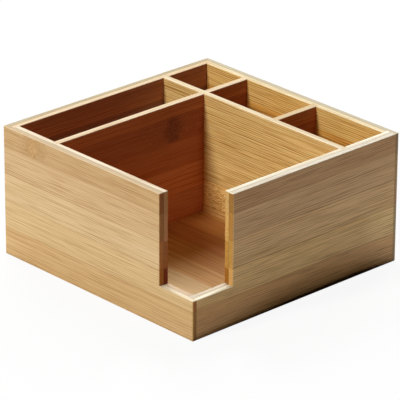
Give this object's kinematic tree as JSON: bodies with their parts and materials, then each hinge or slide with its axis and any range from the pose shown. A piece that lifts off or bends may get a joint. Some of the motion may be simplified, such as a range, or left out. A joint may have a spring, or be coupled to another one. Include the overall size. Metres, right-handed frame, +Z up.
{
  "type": "napkin holder",
  "caption": "Square open box of laminated bamboo with one low front corner, a large napkin bay and small side bays, with housed and half-lapped dividers.",
  "frame": {"origin": "centre of the underside, on the surface that the box stands on", "axes": "+Z up, -Y towards the front wall, -X towards the left wall; the low corner is where these two walls meet"},
  "size_m": [0.19, 0.19, 0.095],
  "materials": {
    "wall_bamboo": "satin lacquered bamboo",
    "base_bamboo": "satin lacquered bamboo",
    "divider_bamboo": "satin lacquered bamboo"
  },
  "bodies": {
    "root": {"left_wall_outer_ply": "wall_bamboo", "left_wall_inner_ply": "wall_bamboo", "right_wall_outer_ply": "wall_bamboo", "right_wall_inner_ply": "wall_bamboo", "front_wall_outer_ply": "wall_bamboo", "front_wall_inner_ply": "wall_bamboo", "back_wall_outer_ply": "wall_bamboo", "back_wall_inner_ply": "wall_bamboo", "base_panel": "base_bamboo", "cross_divider": "divider_bamboo", "side_divider": "divider_bamboo", "short_divider": "divider_bamboo"}
  },
  "joints": []
}
